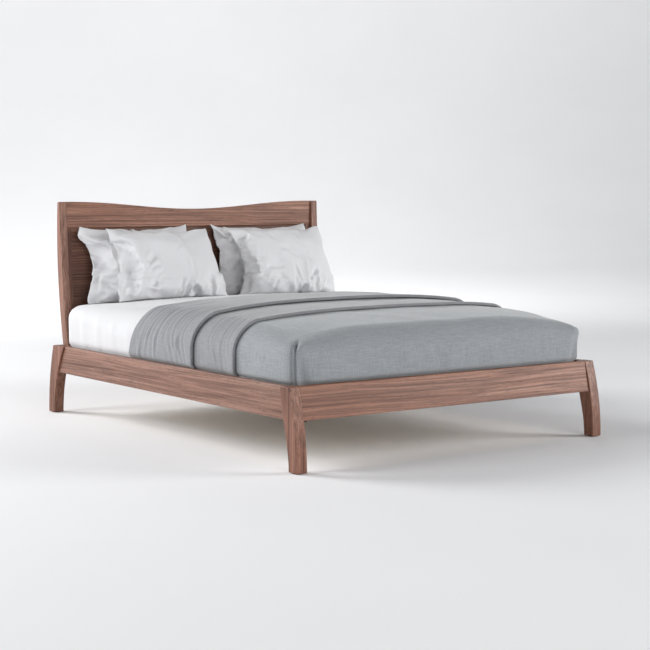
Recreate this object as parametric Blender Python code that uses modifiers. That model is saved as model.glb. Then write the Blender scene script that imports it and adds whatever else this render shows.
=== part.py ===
"""Low-foot sleigh bed for a 160 x 200 cm mattress, made up with its bedding.

Metres, +Z up. The origin is on the floor under the middle of the bed, +X is to the
right of someone lying in it, and +Y points to the headboard.
"""

from math import cos, pi, radians

import bmesh
import bpy
from mathutils import Matrix, Vector

# Driving dimensions
HALF_WIDTH = 0.850          # outer faces of the legs
HALF_LENGTH = 1.111         # toes of the sabre legs
LEG_TOP = 0.345             # level with the top of the rails
LEG_THICKNESS = 0.052
GLIDE_HEIGHT = 0.003
RAIL_BOTTOM = 0.209
RAIL_THICKNESS = 0.030
SIDE_RAIL_SETBACK = 0.010   # the side rails lie this far inside the legs' outer faces
POST_WIDTH = 0.040
POST_BOTTOM = 0.215
HEADBOARD_TOP = 1.067
MATTRESS_HALF_WIDTH = 0.797
MATTRESS_FOOT = -1.011
MATTRESS_HEAD = 0.985
MATTRESS_BOTTOM = 0.302
MATTRESS_TOP = 0.550
MATTRESS_RADIUS = 0.075
CROWN = 0.040               # how far the middle of its top swells
CROWN_CUTS_X = (-0.56, -0.28, 0.28, 0.56)
CROWN_CUTS_Y = (-0.70, -0.35, 0.0, 0.35, 0.70)
SLAT_TOP = 0.300
SLAT_THICKNESS = 0.012
SLAT_WIDTH = 0.075
SLAT_COUNT = 12

# Clearances and small details
GAP = 0.0003                # between pieces that rest on or butt against each other
JOINT_GAP = 0.0005          # between shoulders that meet in a wood joint
EDGE = 0.003                # rounded edge of the show wood
CURVE_STEPS = 16            # straight steps along each long curve
ROUND_STEPS = 12            # sides of a bolt or a hole

INNER_LEG_X = HALF_WIDTH - LEG_THICKNESS
SIDE_RAIL_OUTER = HALF_WIDTH - SIDE_RAIL_SETBACK
SIDE_RAIL_INNER = SIDE_RAIL_OUTER - RAIL_THICKNESS
POST_OUTER = INNER_LEG_X - JOINT_GAP
POST_INNER = POST_OUTER - POST_WIDTH

# Wood joints: side rails into legs, foot rail into legs, headboard rails into posts
TENON_LENGTH = 0.025
TENON_THICKNESS = 0.012
TENON_X = SIDE_RAIL_INNER + RAIL_THICKNESS / 2
RAIL_BOLT_HEIGHT = 0.275
FOOT_TENON_LENGTH = 0.020
POST_TENON_LENGTH = 0.020

# Headboard: back faces are measured forward from the posts' back curve
PANEL_BACK = 0.0045
PANEL_THICKNESS = 0.010
STILE_THICKNESS = 0.020
STILE_WIDTH = 0.030
PANEL_TONGUE = 0.008
TOP_RAIL_FRONT = 1.0760
TOP_RAIL_THICKNESS = 0.016
TOP_RAIL_BOTTOM = 0.934
CREST_DIP = 0.040           # how far the crest sinks in the middle
CREST_HALF_SPAN = 0.720     # where the dip starts
BOTTOM_RAIL_LOW = 0.360
BOTTOM_RAIL_TOP = 0.450

# Load path under the mattress
LEDGER_WIDTH = 0.025
LEDGER_HEIGHT = 0.035
BEAM_WIDTH = 0.045
BEAM_HEIGHT = 0.060
CLEAT_BACK = -1.003
CROSS_RAIL_FRONT = 0.988
CROSS_RAIL_BACK = 1.008
CROSS_RAIL_TOP = 0.298
CENTRE_LEG_Y = 0.060
CENTRE_LEG_SIDE = 0.045
CENTRE_LEG_BOTTOM = 0.034

WALNUT = ("walnut", (0.24, 0.135, 0.095, 1.0), 0.45, 0.0)
BIRCH = ("birch", (0.72, 0.56, 0.38, 1.0), 0.60, 0.0)
STEEL = ("zinc_steel", (0.62, 0.63, 0.65, 1.0), 0.35, 1.0)
NYLON = ("black_nylon", (0.03, 0.03, 0.03, 1.0), 0.55, 0.0)
WEBBING = ("webbing", (0.75, 0.72, 0.66, 1.0), 0.90, 0.0)
TICKING = ("mattress_ticking", (0.85, 0.85, 0.83, 1.0), 0.90, 0.0)
PERCALE = ("white_cotton", (0.86, 0.86, 0.88, 1.0), 0.85, 0.0)
GREY_LINEN = ("grey_linen", (0.36, 0.39, 0.41, 1.0), 0.90, 0.0)


# ---- scene and materials ---------------------------------------------------------

def clear_scene():
    for obj in list(bpy.data.objects):
        bpy.data.objects.remove(obj, do_unlink=True)


def new_collection(name):
    collection = bpy.data.collections.new(name)
    bpy.context.scene.collection.children.link(collection)
    return collection


clear_scene()
parts = new_collection("sleigh_bed")
cutters = new_collection("cutters")
holes = {}                  # piece name -> list of (start, end, radius)


def material_for(piece, finish):
    slot, colour, roughness, metallic = finish
    material = bpy.data.materials.new(f"{piece}_{slot}")
    material.use_nodes = True
    shader = material.node_tree.nodes["Principled BSDF"]
    shader.inputs["Base Color"].default_value = colour
    shader.inputs["Roughness"].default_value = roughness
    shader.inputs["Metallic"].default_value = metallic
    return material


# ---- curves of the side view, as |Y| at a height Z ------------------------------------

def leg_outer(z):
    return HALF_LENGTH - 0.479 * z ** 2


def head_leg_inner(z):
    return 1.048 - 0.919 * z ** 2


def foot_leg_inner(z):
    """Upright at the floor, sweeping in fastest at mid height and steep again at the rail."""
    return 1.053 - 0.030 * (1 - cos(pi * z / 0.360))


def post_front(z):
    return 1.0674 - 0.0976 * (z - 1.204) ** 2


def post_back(z):
    return 1.1018 - 0.2002 * (z - 0.854) ** 2


def foot_rail_front(z):
    """Straight board that leans out towards its lower edge, flush with the legs on top."""
    return 1.0535 + 0.2228 * (LEG_TOP - z)


def foot_rail_back(z):
    return foot_rail_front(z) - 0.0307


def crest(x):
    """Height of the headboard's top edge."""
    reach = min(abs(x) / CREST_HALF_SPAN, 1.0)
    return HEADBOARD_TOP - CREST_DIP * (1 + cos(pi * reach)) / 2


def stretch(curve, low, high, steps=CURVE_STEPS, sign=1, shift=0.0):
    """Points (Y, Z) along a curve of the side view, from one height to another."""
    heights = [low + (high - low) * i / steps for i in range(steps + 1)]
    return [(sign * (curve(z) + shift), z) for z in heights]


# ---- modelling helpers -----------------------------------------------------------

def link_mesh(name, mesh, finish, location=(0, 0, 0)):
    obj = bpy.data.objects.new(name, mesh)
    obj.location = location
    parts.objects.link(obj)
    mesh.materials.clear()
    mesh.materials.append(material_for(name, finish))
    return obj


def evaluated_mesh(obj):
    """The object's mesh with its modifiers, in its own coordinates, and the object removed."""
    bpy.context.view_layer.update()
    depsgraph = bpy.context.evaluated_depsgraph_get()
    mesh = bpy.data.meshes.new_from_object(obj.evaluated_get(depsgraph))
    bpy.data.objects.remove(obj, do_unlink=True)
    return mesh


TURN_TO = {
    "X": Matrix(((0, 0, 1, 0), (1, 0, 0, 0), (0, 1, 0, 0), (0, 0, 0, 1))),
    "Y": Matrix(((1, 0, 0, 0), (0, 0, -1, 0), (0, 1, 0, 0), (0, 0, 0, 1))),
    "Z": Matrix.Identity(4),
}


def outline_mesh(points, thickness, across):
    """A closed flat outline, extruded both ways along an axis. Across X it holds (Y, Z)
    points, across Y (X, Z) points and across Z (X, Y) points."""
    curve = bpy.data.curves.new("outline", "CURVE")
    curve.dimensions = "2D"
    curve.fill_mode = "BOTH"
    curve.extrude = thickness / 2
    spline = curve.splines.new("POLY")
    spline.points.add(len(points) - 1)
    for point, (a, b) in zip(spline.points, points):
        point.co = (a, b, 0, 1)
    spline.use_cyclic_u = True
    flat = bpy.data.objects.new("outline", curve)
    bpy.context.scene.collection.objects.link(flat)
    mesh = evaluated_mesh(flat)
    bpy.data.curves.remove(curve)
    bm = bmesh.new()
    bm.from_mesh(mesh)
    bmesh.ops.remove_doubles(bm, verts=bm.verts, dist=0.00001)
    bmesh.ops.dissolve_limit(bm, angle_limit=radians(0.2), verts=bm.verts, edges=bm.edges)
    bmesh.ops.transform(bm, matrix=TURN_TO[across], verts=bm.verts)
    bmesh.ops.recalc_face_normals(bm, faces=bm.faces)
    bm.to_mesh(mesh)
    bm.free()
    return mesh


def round_edges(obj, width, segments=2):
    bevel = obj.modifiers.new("rounded_edges", "BEVEL")
    bevel.width = width
    bevel.segments = segments
    bevel.limit_method = "ANGLE"
    bevel.angle_limit = radians(40)


def board(name, points, thickness, across, centre, finish, edge=EDGE):
    """A flat piece sawn to an outline, with rounded edges; centre is its place along the axis."""
    place = {"X": (centre, 0, 0), "Y": (0, centre, 0), "Z": (0, 0, centre)}[across]
    obj = link_mesh(name, outline_mesh(points, thickness, across), finish, place)
    if edge:
        round_edges(obj, edge)
    return obj


def box_mesh(low, high):
    """A box about its own centre; gives the mesh and the centre."""
    low, high = Vector(low), Vector(high)
    size = high - low
    bm = bmesh.new()
    bmesh.ops.create_cube(bm, size=1.0, matrix=Matrix.Diagonal((*size, 1)))
    mesh = bpy.data.meshes.new("box")
    bm.to_mesh(mesh)
    bm.free()
    return mesh, (low + high) / 2


def bar(name, low, high, finish, edge=0.002):
    mesh, centre = box_mesh(low, high)
    obj = link_mesh(name, mesh, finish, centre)
    if edge:
        round_edges(obj, edge)
    return obj


def turned_mesh(profile, steps=ROUND_STEPS):
    """A solid turned about Z from (radius, height) points that run down its outer side."""
    mesh = bpy.data.meshes.new("turned")
    points = [(radius, 0, height) for radius, height in profile]
    mesh.from_pydata(points, [(i, i + 1) for i in range(len(points) - 1)], [])
    obj = bpy.data.objects.new("turned", mesh)
    bpy.context.scene.collection.objects.link(obj)
    screw = obj.modifiers.new("turn", "SCREW")
    screw.axis = "Z"
    screw.steps = steps
    screw.render_steps = steps
    screw.use_merge_vertices = True
    screw.merge_threshold = 0.00001
    return evaluated_mesh(obj)


def drill(piece, start, end, radius):
    holes.setdefault(piece, []).append((Vector(start), Vector(end), radius))


def combine(obj, other_mesh, location, operation):
    """Boolean with a helper object that stays hidden in the cutters' collection."""
    helper = bpy.data.objects.new(f"{operation.lower()}_{obj.name}", other_mesh)
    helper.location = location
    helper.hide_render = True
    helper.display_type = "WIRE"
    cutters.objects.link(helper)
    boolean = obj.modifiers.new(operation.lower(), "BOOLEAN")
    boolean.operation = operation
    boolean.solver = "EXACT"
    boolean.object = helper
    return boolean


def cut_with(obj, cutter_mesh, location=(0, 0, 0)):
    return combine(obj, cutter_mesh, location, "DIFFERENCE")


def join_with(obj, other_mesh, location=(0, 0, 0)):
    combine(obj, other_mesh, location, "UNION")


def tenon_and_mortises(rail, hosts, outline, reach):
    """A tenon outline in the side view runs through the rail and out of both its ends, to
    X = reach, and each host gets the mortise for it. The outline is a function of the gap."""
    join_with(rail, outline_mesh(outline(0.0), 2 * reach, "X"))
    for host in hosts:
        mesh = outline_mesh(outline(JOINT_GAP), 2 * (reach + JOINT_GAP), "X")
        cut_with(bpy.data.objects[host], mesh)


def drill_all():
    for piece, rods in holes.items():
        bm = bmesh.new()
        for start, end, radius in rods:
            axis = end - start
            place = Matrix.Translation((start + end) / 2)
            turn = Vector((0, 0, 1)).rotation_difference(axis).to_matrix().to_4x4()
            bmesh.ops.create_cone(
                bm, cap_ends=True, segments=ROUND_STEPS, radius1=radius, radius2=radius,
                depth=axis.length, matrix=place @ turn)
        mesh = bpy.data.meshes.new(f"holes_{piece}")
        bm.to_mesh(mesh)
        bm.free()
        cut = cut_with(bpy.data.objects[piece], mesh)
        cut.use_self = True     # a counterbore and its hole run into each other


# ---- legs ------------------------------------------------------------------------

def leg(name, side, end, inner):
    """A sabre leg: its outer curve flares to the toe, and its inner curve meets the rail."""
    rise = stretch(leg_outer, GLIDE_HEIGHT, LEG_TOP, sign=end)
    fall = stretch(inner, LEG_TOP, GLIDE_HEIGHT, sign=end)
    obj = board(name, rise + fall, LEG_THICKNESS, "X",
                side * (HALF_WIDTH - LEG_THICKNESS / 2), WALNUT)
    mortise = tenon_outline(inner, end, JOINT_GAP)
    cut_with(obj, outline_mesh(mortise, TENON_THICKNESS + 2 * JOINT_GAP, "X"),
             (side * TENON_X, 0, 0))
    return obj


def tenon_outline(inner, end, grow=0.0):
    """The side rail's stub tenon, whose shoulder and end both follow the leg's inner curve."""
    low, high = 0.225 - grow, 0.329 + grow
    root = stretch(inner, low, high, 6, end, -0.010)
    tip = stretch(inner, high, low, 6, end, TENON_LENGTH + grow)
    return root + tip


def glide(name, side, end):
    """A nylon disc pinned under the leg's toe."""
    middle = end * (leg_outer(0) + (head_leg_inner(0) if end > 0 else foot_leg_inner(0))) / 2
    top = GLIDE_HEIGHT - GAP
    profile = [(0, top), (0.019, top), (0.019, 0.001), (0.018, 0), (0, 0)]
    link_mesh(name, turned_mesh(profile, 16), NYLON,
              (side * (HALF_WIDTH - LEG_THICKNESS / 2), middle, 0))


def legs_and_glides():
    for side, hand in ((-1, "left"), (1, "right")):
        leg(f"leg_foot_{hand}", side, -1, foot_leg_inner)
        leg(f"leg_head_{hand}", side, 1, head_leg_inner)
        glide(f"glide_foot_{hand}", side, -1)
        glide(f"glide_head_{hand}", side, 1)


# ---- rails -----------------------------------------------------------------------

def side_rail(name, side):
    """Straight board with a shoulder scribed to each leg's curve and a stub tenon beyond it."""
    steps = 8
    foot_end = stretch(foot_leg_inner, RAIL_BOTTOM, LEG_TOP, steps, -1, -JOINT_GAP)
    head_end = stretch(head_leg_inner, LEG_TOP, RAIL_BOTTOM, steps, 1, -JOINT_GAP)
    obj = board(name, foot_end + head_end, RAIL_THICKNESS, "X",
                side * (SIDE_RAIL_INNER + RAIL_THICKNESS / 2), WALNUT)
    for inner, end in ((foot_leg_inner, -1), (head_leg_inner, 1)):
        mesh = outline_mesh(tenon_outline(inner, end), TENON_THICKNESS, "X")
        join_with(obj, mesh, (side * TENON_X, 0, 0))


def foot_rail_outline(low, high, inset):
    face = [(-foot_rail_front(z) + inset, z) for z in (low, high)]
    back = [(-foot_rail_back(z) - inset, z) for z in (high, low)]
    return face + back


def foot_rail():
    obj = board("foot_rail", foot_rail_outline(RAIL_BOTTOM, LEG_TOP, 0),
                2 * (INNER_LEG_X - JOINT_GAP), "X", 0, WALNUT)
    tenon_and_mortises(
        obj, ("leg_foot_left", "leg_foot_right"),
        lambda gap: foot_rail_outline(0.229 - gap, 0.325 + gap, 0.0105 - gap),
        INNER_LEG_X + FOOT_TENON_LENGTH)


def foot_cleat():
    """Stiffener behind the foot rail, with an upright back for the beam hanger."""
    low, high = POST_BOTTOM, CROSS_RAIL_TOP
    outline = [
        (-foot_rail_back(low) + GAP, low), (-foot_rail_back(high) + GAP, high),
        (CLEAT_BACK, high), (CLEAT_BACK, low)]
    board("foot_cleat", outline, 1.48, "X", 0, BIRCH, 0.001)


def rails():
    side_rail("side_rail_left", -1)
    side_rail("side_rail_right", 1)
    foot_rail()
    foot_cleat()


# ---- headboard -------------------------------------------------------------------

def post(name, side):
    outline = stretch(post_front, POST_BOTTOM, HEADBOARD_TOP)
    outline += stretch(post_back, HEADBOARD_TOP, POST_BOTTOM)
    board(name, outline, POST_WIDTH, "X", side * (POST_OUTER - POST_WIDTH / 2), WALNUT, 0.005)


def layer_outline(low, high, back, thickness, steps=12):
    """Side view of a curved layer of the headboard, set forward from the posts' back."""
    front_face = stretch(post_back, low, high, steps, 1, -back - thickness)
    back_face = stretch(post_back, high, low, steps, 1, -back)
    return front_face + back_face


def panel_groove(obj, half_width):
    outline = layer_outline(
        BOTTOM_RAIL_TOP - PANEL_TONGUE - GAP, TOP_RAIL_BOTTOM + PANEL_TONGUE + GAP,
        PANEL_BACK - GAP, PANEL_THICKNESS + 2 * GAP)
    cut_with(obj, outline_mesh(outline, 2 * (half_width + GAP), "X"))


def headboard_panel(half_width):
    low, high = BOTTOM_RAIL_TOP - PANEL_TONGUE, TOP_RAIL_BOTTOM + PANEL_TONGUE
    outline = layer_outline(low, high, PANEL_BACK, PANEL_THICKNESS)
    board("headboard_panel", outline, 2 * half_width, "X", 0, WALNUT, 0)


def box_outline(front, back, low, high, gap):
    return [(front - gap, low - gap), (front - gap, high + gap),
            (back + gap, high + gap), (back + gap, low - gap)]


def headboard_top_rail(half_span):
    steps = 28
    spots = [half_span * (2 * i / steps - 1) for i in range(steps + 1)]
    outline = [(-half_span, TOP_RAIL_BOTTOM), (half_span, TOP_RAIL_BOTTOM)]
    outline += [(x, crest(x)) for x in reversed(spots)]
    return board("headboard_top_rail", outline, TOP_RAIL_THICKNESS, "Y",
                 TOP_RAIL_FRONT + TOP_RAIL_THICKNESS / 2, WALNUT)


def headboard():
    half_span = POST_INNER - JOINT_GAP
    stile_inner = half_span - STILE_WIDTH
    panel_half_width = stile_inner + PANEL_TONGUE
    tenon_reach = POST_INNER + POST_TENON_LENGTH
    posts = ("headboard_post_left", "headboard_post_right")
    post(posts[0], -1)
    post(posts[1], 1)
    stile_back = PANEL_BACK - 0.002

    top = headboard_top_rail(half_span)
    tenon_and_mortises(
        top, posts,
        lambda gap: box_outline(TOP_RAIL_FRONT + 0.004, TOP_RAIL_FRONT + 0.012, 0.950, 1.014, gap),
        tenon_reach)
    panel_groove(top, panel_half_width)

    bottom = board(
        "headboard_bottom_rail",
        layer_outline(BOTTOM_RAIL_LOW, BOTTOM_RAIL_TOP, stile_back, STILE_THICKNESS, 6),
        2 * half_span, "X", 0, WALNUT, 0.002)
    tenon_and_mortises(
        bottom, posts,
        lambda gap: layer_outline(BOTTOM_RAIL_LOW + 0.012 - gap, BOTTOM_RAIL_TOP - 0.022 + gap,
                                  stile_back + 0.006 - gap, 0.008 + 2 * gap, 4),
        tenon_reach)
    panel_groove(bottom, panel_half_width)

    cross = bar("head_cross_rail", (-half_span, CROSS_RAIL_FRONT, POST_BOTTOM),
                (half_span, CROSS_RAIL_BACK, CROSS_RAIL_TOP), WALNUT)
    tenon_middle = (CROSS_RAIL_FRONT + CROSS_RAIL_BACK) / 2
    tenon_and_mortises(
        cross, posts,
        lambda gap: box_outline(tenon_middle - 0.0035, tenon_middle + 0.0035,
                                POST_BOTTOM + 0.014, CROSS_RAIL_TOP - 0.014, gap),
        tenon_reach)

    low, high = BOTTOM_RAIL_TOP + JOINT_GAP, TOP_RAIL_BOTTOM - JOINT_GAP
    for side, hand in ((-1, "left"), (1, "right")):
        stile = board(
            f"headboard_stile_{hand}",
            layer_outline(low, high, stile_back, STILE_THICKNESS, 12),
            STILE_WIDTH, "X", side * (half_span - STILE_WIDTH / 2), WALNUT, 0)
        panel_groove(stile, panel_half_width)
    headboard_panel(panel_half_width)


# ---- slats and centre support ----------------------------------------------------

def slats():
    first, last = -0.930, 0.900
    reach = SIDE_RAIL_INNER - 0.006
    for i in range(SLAT_COUNT):
        y = first + (last - first) * i / (SLAT_COUNT - 1)
        bar(f"slat_{i + 1:02d}", (-reach, y - SLAT_WIDTH / 2, SLAT_TOP - SLAT_THICKNESS),
            (reach, y + SLAT_WIDTH / 2, SLAT_TOP), BIRCH)
    for side, hand in ((-1, "left"), (1, "right")):
        middle = side * 0.520
        bar(f"slat_strap_{hand}", (middle - 0.010, first - 0.030, SLAT_TOP + GAP),
            (middle + 0.010, last + 0.030, SLAT_TOP + GAP + 0.001), WEBBING, 0)


def ledgers():
    top = SLAT_TOP - SLAT_THICKNESS - GAP
    for side, hand in ((-1, "left"), (1, "right")):
        outer = side * (SIDE_RAIL_INNER - GAP)
        inner = side * (SIDE_RAIL_INNER - GAP - LEDGER_WIDTH)
        bar(f"slat_ledger_{hand}", (min(outer, inner), -0.965, top - LEDGER_HEIGHT),
            (max(outer, inner), 0.935, top), BIRCH)


def beam_hanger(name, face_y, toward):
    """Sheet-steel saddle that carries one end of the beam, on a back plate."""
    sheet, depth = 0.002, 0.030
    top = SLAT_TOP - SLAT_THICKNESS - 0.004
    floor = SLAT_TOP - SLAT_THICKNESS - GAP - BEAM_HEIGHT - GAP
    half = BEAM_WIDTH / 2 + GAP
    saddle = [
        (-half - sheet, floor - sheet), (half + sheet, floor - sheet), (half + sheet, top),
        (half, top), (half, floor), (-half, floor), (-half, top), (-half - sheet, top)]
    centre = face_y + toward * (GAP + sheet + depth / 2)
    obj = board(name, saddle, depth, "Y", centre, STEEL, 0)
    ears, ear_thickness = 0.048, 0.003
    plate_low = min(face_y + toward * GAP, face_y + toward * (GAP + ear_thickness))
    plate, middle = box_mesh(
        (-ears, plate_low, floor - sheet - 0.0005), (ears, plate_low + ear_thickness, top + 0.0005))
    join_with(obj, plate, middle)


def centre_support():
    top = SLAT_TOP - SLAT_THICKNESS - GAP
    bottom = top - BEAM_HEIGHT
    plate_depth = 0.0038
    bar("centre_beam", (-BEAM_WIDTH / 2, CLEAT_BACK + plate_depth, bottom),
        (BEAM_WIDTH / 2, CROSS_RAIL_FRONT - plate_depth, top), BIRCH)
    beam_hanger("beam_hanger_foot", CLEAT_BACK, 1)
    beam_hanger("beam_hanger_head", CROSS_RAIL_FRONT, -1)
    half = CENTRE_LEG_SIDE / 2
    plate_top = bottom - GAP
    bar("centre_leg_plate", (-0.040, CENTRE_LEG_Y - 0.040, plate_top - 0.003),
        (0.040, CENTRE_LEG_Y + 0.040, plate_top), STEEL, 0.0008)
    bar("centre_leg", (-half, CENTRE_LEG_Y - half, CENTRE_LEG_BOTTOM),
        (half, CENTRE_LEG_Y + half, plate_top - 0.003 - GAP), BIRCH, 0.003)


def leveller():
    """Insert, threaded stem and pad under the centre leg; the stem turns, the pad only lifts."""
    insert_top, insert_bottom = 0.056, CENTRE_LEG_BOTTOM + 0.001
    insert = [
        (0.0043, insert_top), (0.0062, insert_top), (0.0062, insert_bottom),
        (0.0043, insert_bottom), (0.0043, insert_top)]
    link_mesh("leveller_insert", turned_mesh(insert), STEEL, (0, CENTRE_LEG_Y, 0))
    drill("centre_leg", (0, CENTRE_LEG_Y, CENTRE_LEG_BOTTOM - 0.002),
          (0, CENTRE_LEG_Y, insert_top + GAP), 0.0066)
    drill("centre_leg", (0, CENTRE_LEG_Y, insert_top - 0.001), (0, CENTRE_LEG_Y, 0.082), 0.0046)
    stem = [
        (0, 0.062), (0.003, 0.062), (0.004, 0.061), (0.004, 0.0175), (0.0080, 0.0175),
        (0.0080, 0.0115), (0.005, 0.0115), (0.005, 0.0070), (0, 0.0070)]
    link_mesh("leveller_stem", turned_mesh(stem), STEEL, (0, CENTRE_LEG_Y, 0))
    socket = [(0, 0.0067), (0.0055, 0.0067), (0.0055, 0.0100)]
    pad = [(0.0085, 0.0100), (0.0200, 0.0055), (0.0200, 0.0020), (0.0190, 0.0010), (0, 0.0010)]
    link_mesh("leveller_pad", turned_mesh(socket + pad, 16), NYLON, (0, CENTRE_LEG_Y, 0))


# ---- fasteners -------------------------------------------------------------------

def bolt(name, start, outward, head_radius, head, shank_radius, shank):
    """Cap-head bolt whose bearing face is at start and whose shank points outward."""
    soft = 0.0008
    profile = [
        (0, head), (head_radius - soft, head), (head_radius, head - soft), (head_radius, 0),
        (shank_radius, 0), (shank_radius, -shank), (0, -shank)]
    turn = Vector((0, 0, -1)).rotation_difference(outward)
    obj = link_mesh(name, turned_mesh(profile), STEEL, start)
    obj.rotation_euler = turn.to_euler()


def rail_bolt(name, side, end, inner, leg_name, rail_name):
    """Cross bolt through the leg's inner cheek and the side rail's tenon."""
    head, seat, shank, hole = 0.005, 0.0065, 0.027, 0.0033
    outward = Vector((side, 0, 0))
    y = end * (inner(RAIL_BOLT_HEIGHT) + TENON_LENGTH / 2)
    start = Vector((side * (INNER_LEG_X + seat), y, RAIL_BOLT_HEIGHT))
    bolt(name, start, outward, 0.005, head, 0.003, shank)
    drill(leg_name, start - outward * 0.010, start + outward * GAP, 0.0058)
    drill(leg_name, start - outward * 0.001, start + outward * (shank + GAP), hole)
    drill(rail_name, start, start + outward * (shank + GAP), hole)


def post_bolt(name, side, y, z, hosts):
    """Bolt that clamps a headboard post to the inner face of its head leg."""
    head, shank = 0.007, POST_WIDTH + 0.028
    outward = Vector((side, 0, 0))
    start = Vector((side * (POST_INNER - GAP), y, z))
    bolt(name, start, outward, 0.0065, head, 0.004, shank)
    for piece in hosts:
        drill(piece, start - outward * 0.001, start + outward * (shank + GAP), 0.0043)


def fasteners():
    for side, hand in ((-1, "left"), (1, "right")):
        rail = f"side_rail_{hand}"
        rail_bolt(f"rail_bolt_foot_{hand}", side, -1, foot_leg_inner, f"leg_foot_{hand}", rail)
        rail_bolt(f"rail_bolt_head_{hand}", side, 1, head_leg_inner, f"leg_head_{hand}", rail)
        hosts = (f"headboard_post_{hand}", f"leg_head_{hand}")
        post_bolt(f"post_bolt_lower_{hand}", side, 1.018, 0.255, hosts)
        post_bolt(f"post_bolt_upper_{hand}", side, 1.024, 0.325, hosts)


# ---- bedding ---------------------------------------------------------------------

def crown(x, y):
    """Swell of the mattress top at a point, none at its edges."""
    middle = (MATTRESS_FOOT + MATTRESS_HEAD) / 2
    across = min(abs(x) / MATTRESS_HALF_WIDTH, 1)
    along = min(abs(y - middle) / (MATTRESS_HEAD - middle), 1)
    return CROWN * (1 - across ** 2.2) * (1 - along ** 3.2)


def swell(mesh):
    """Cuts the mattress's top into strips and raises them to the crown."""
    bm = bmesh.new()
    bm.from_mesh(mesh)
    cuts = [((x, 0, 0), (1, 0, 0)) for x in CROWN_CUTS_X]
    cuts += [((0, y, 0), (0, 1, 0)) for y in CROWN_CUTS_Y]
    for point, normal in cuts:
        upper = [f for f in bm.faces if f.calc_center_median().z > MATTRESS_TOP - MATTRESS_RADIUS]
        edges = {e for f in upper for e in f.edges}
        verts = {v for f in upper for v in f.verts}
        geometry = upper + list(edges) + list(verts)
        bmesh.ops.bisect_plane(bm, geom=geometry, plane_co=point, plane_no=normal)
    shoulder = MATTRESS_TOP - MATTRESS_RADIUS
    for v in bm.verts:
        share = max(v.co.z - shoulder, 0) / MATTRESS_RADIUS
        v.co.z += crown(v.co.x, v.co.y) * share ** 2
    bm.to_mesh(mesh)
    bm.free()
    return mesh


def mattress_mesh():
    """Box with broad rounded corners and top edges, tighter ones below, and a crowned top."""
    mesh, centre = box_mesh(
        (-MATTRESS_HALF_WIDTH, MATTRESS_FOOT, MATTRESS_BOTTOM),
        (MATTRESS_HALF_WIDTH, MATTRESS_HEAD, MATTRESS_TOP))
    bm = bmesh.new()
    bm.from_mesh(mesh)
    weight = bm.edges.layers.float.new("bevel_weight_edge")
    for edge in bm.edges:
        below = all(v.co.z < 0 for v in edge.verts)
        edge[weight] = 0.4 if below else 1.0
    bmesh.ops.translate(bm, verts=bm.verts, vec=centre)
    bm.to_mesh(mesh)
    bm.free()
    obj = bpy.data.objects.new("mattress_form", mesh)
    bpy.context.scene.collection.objects.link(obj)
    bevel = obj.modifiers.new("rounding", "BEVEL")
    bevel.width = MATTRESS_RADIUS
    bevel.segments = 4
    bevel.limit_method = "WEIGHT"
    return swell(evaluated_mesh(obj))


def cover_shell(form, low, head_edge, foot_edge, gap, thickness):
    """A thin cover lying a gap outside the mattress, open below, between two cross cuts."""
    bm = bmesh.new()
    bm.from_mesh(form)
    planes = [((0, 0, low), (0, 0, -1))]
    if head_edge is not None:
        planes.append(((0, head_edge, 0), (0, 1, 0)))
    if foot_edge is not None:
        planes.append(((0, foot_edge, 0), (0, -1, 0)))
    for point, normal in planes:
        everything = list(bm.verts) + list(bm.edges) + list(bm.faces)
        bmesh.ops.bisect_plane(bm, geom=everything, plane_co=point, plane_no=normal, clear_outer=True)
    mesh = bpy.data.meshes.new("cover")
    bm.to_mesh(mesh)
    bm.free()
    obj = bpy.data.objects.new("cover", mesh)
    bpy.context.scene.collection.objects.link(obj)
    lift = obj.modifiers.new("lift", "DISPLACE")
    lift.strength = gap
    lift.mid_level = 0
    skin = obj.modifiers.new("thickness", "SOLIDIFY")
    skin.thickness = thickness
    skin.offset = 1
    return evaluated_mesh(obj)


def made_bed():
    form = mattress_mesh()
    link_mesh("mattress", form.copy(), TICKING)
    inside_rails = LEG_TOP - 0.025
    above_rails = LEG_TOP + 0.0015
    sheet = cover_shell(form, inside_rails - 0.005, None, None, 0.0005, 0.0020)
    link_mesh("fitted_sheet", sheet, PERCALE)
    spread = cover_shell(form, inside_rails, 0.330, None, 0.0030, 0.0040)
    link_mesh("bedspread", spread, GREY_LINEN)
    # The throw is folded double: its upper layer is joined to the lower one.
    lower = cover_shell(form, above_rails, 0.350, -0.550, 0.0095, 0.0060)
    upper = cover_shell(form, above_rails + 0.001, 0.349, -0.220, 0.0150, 0.0065)
    join_with(link_mesh("throw", lower, GREY_LINEN), upper)


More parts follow.
